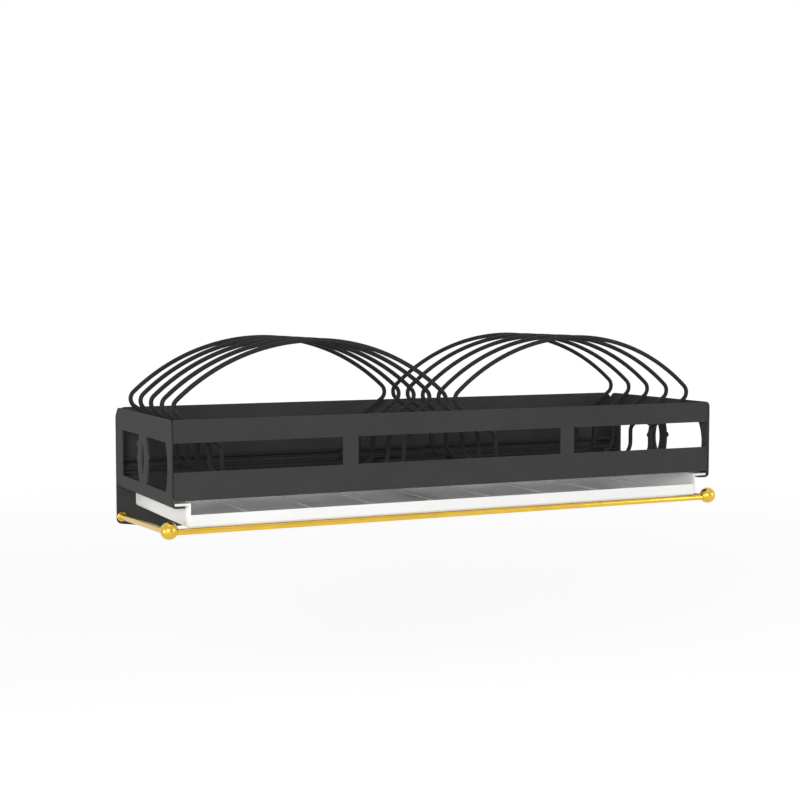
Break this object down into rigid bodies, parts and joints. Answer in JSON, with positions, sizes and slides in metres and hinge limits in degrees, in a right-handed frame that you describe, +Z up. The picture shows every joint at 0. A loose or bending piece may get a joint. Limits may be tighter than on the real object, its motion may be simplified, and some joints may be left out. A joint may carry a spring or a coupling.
{
  "type": "wall dish rack",
  "caption": "Wall-mounted sheet-steel dish rack with lift-out wire plate arches, a slide-out white drip tray and a gold ball-ended rail below.",
  "frame": {"origin": "on the wall, midway between the two wall-screw holes, at the rear face of the back panel", "axes": "+X to the right along the rack, +Y into the wall, +Z up; the front of the rack faces -Y"},
  "size_m": [0.5602, 0.179, 0.1804],
  "materials": {
    "black_sheet": "satin powder coat",
    "black_wire": "satin powder coat",
    "white_tray": "semi-gloss moulded",
    "gold_rail": "polished gold"
  },
  "bodies": {
    "frame": {"front_panel": "black_sheet", "left_end_panel": "black_sheet", "right_end_panel": "black_sheet", "back_panel": "black_sheet", "centre_crossbar": "black_sheet", "front_left_gusset": "black_sheet", "front_right_gusset": "black_sheet", "back_left_gusset": "black_sheet", "back_right_gusset": "black_sheet", "rail_front_rod": "gold_rail", "rail_left_arm": "gold_rail", "rail_left_ball": "gold_rail", "rail_left_foot": "gold_rail", "rail_right_arm": "gold_rail", "rail_right_ball": "gold_rail", "rail_right_foot": "gold_rail"},
    "left_plate_rack": {"left_arch_1": "black_wire", "left_arch_2": "black_wire", "left_arch_3": "black_wire", "left_arch_4": "black_wire", "left_arch_5": "black_wire", "left_rest_wire_1": "black_wire", "left_rest_wire_2": "black_wire", "left_rest_wire_3": "black_wire", "left_rest_wire_4": "black_wire", "left_front_cross_wire": "black_wire", "left_back_cross_wire": "black_wire", "left_back_stop_wire": "black_wire"},
    "right_plate_rack": {"right_arch_1": "black_wire", "right_arch_2": "black_wire", "right_arch_3": "black_wire", "right_arch_4": "black_wire", "right_arch_5": "black_wire", "right_rest_wire_1": "black_wire", "right_rest_wire_2": "black_wire", "right_rest_wire_3": "black_wire", "right_rest_wire_4": "black_wire", "right_front_cross_wire": "black_wire", "right_back_cross_wire": "black_wire", "right_back_stop_wire": "black_wire"},
    "tray": {"drip_tray": "white_tray"}
  },
  "joints": [
    {"name": "tray_slide", "type": "slide", "parent": "frame", "child": "tray", "axis": [0, -1, 0], "range_m": [0, 0.15]},
    {"name": "left_rack_lift", "type": "slide", "parent": "frame", "child": "left_plate_rack", "axis": [0, 0, 1], "range_m": [0, 0.1]},
    {"name": "right_rack_lift", "type": "slide", "parent": "frame", "child": "right_plate_rack", "axis": [0, 0, 1], "range_m": [0, 0.1]}
  ]
}
